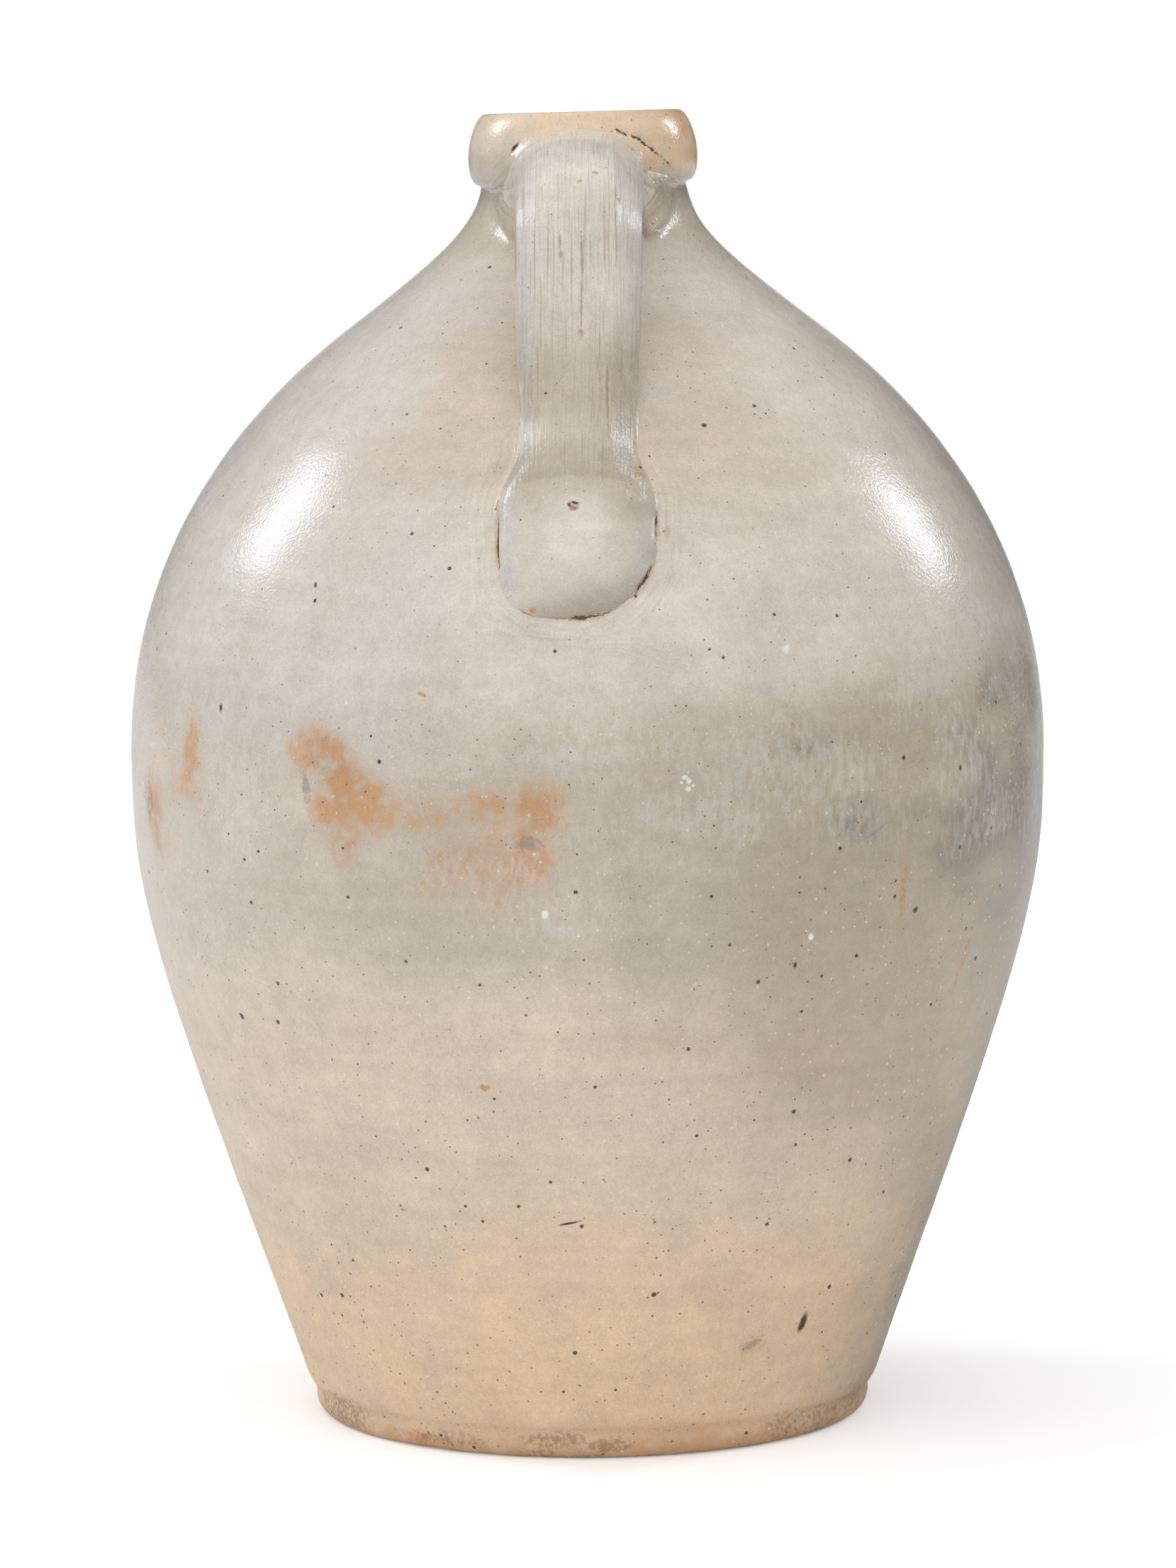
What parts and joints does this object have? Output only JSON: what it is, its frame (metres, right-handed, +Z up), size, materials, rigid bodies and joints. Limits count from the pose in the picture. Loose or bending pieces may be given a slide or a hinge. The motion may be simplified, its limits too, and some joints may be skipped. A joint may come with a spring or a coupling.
{
  "type": "stoneware jug",
  "caption": "Ovoid salt-glazed stoneware jug with a thick collar, a narrow corked mouth and a strap handle from collar to shoulder.",
  "frame": {"origin": "centre of the flat base, on the floor that the jug stands on", "axes": "+Z up along the thrown body's axis, -Y towards the handle, +X to the right seen from the handle's side"},
  "size_m": [0.246, 0.246, 0.3505],
  "materials": {
    "salt_glazed_stoneware": "salt glaze, uneven: glossy and pitted on the shoulders, satin to matte towards the foot"
  },
  "bodies": {
    "root": {"jug": "salt_glazed_stoneware"}
  },
  "joints": []
}
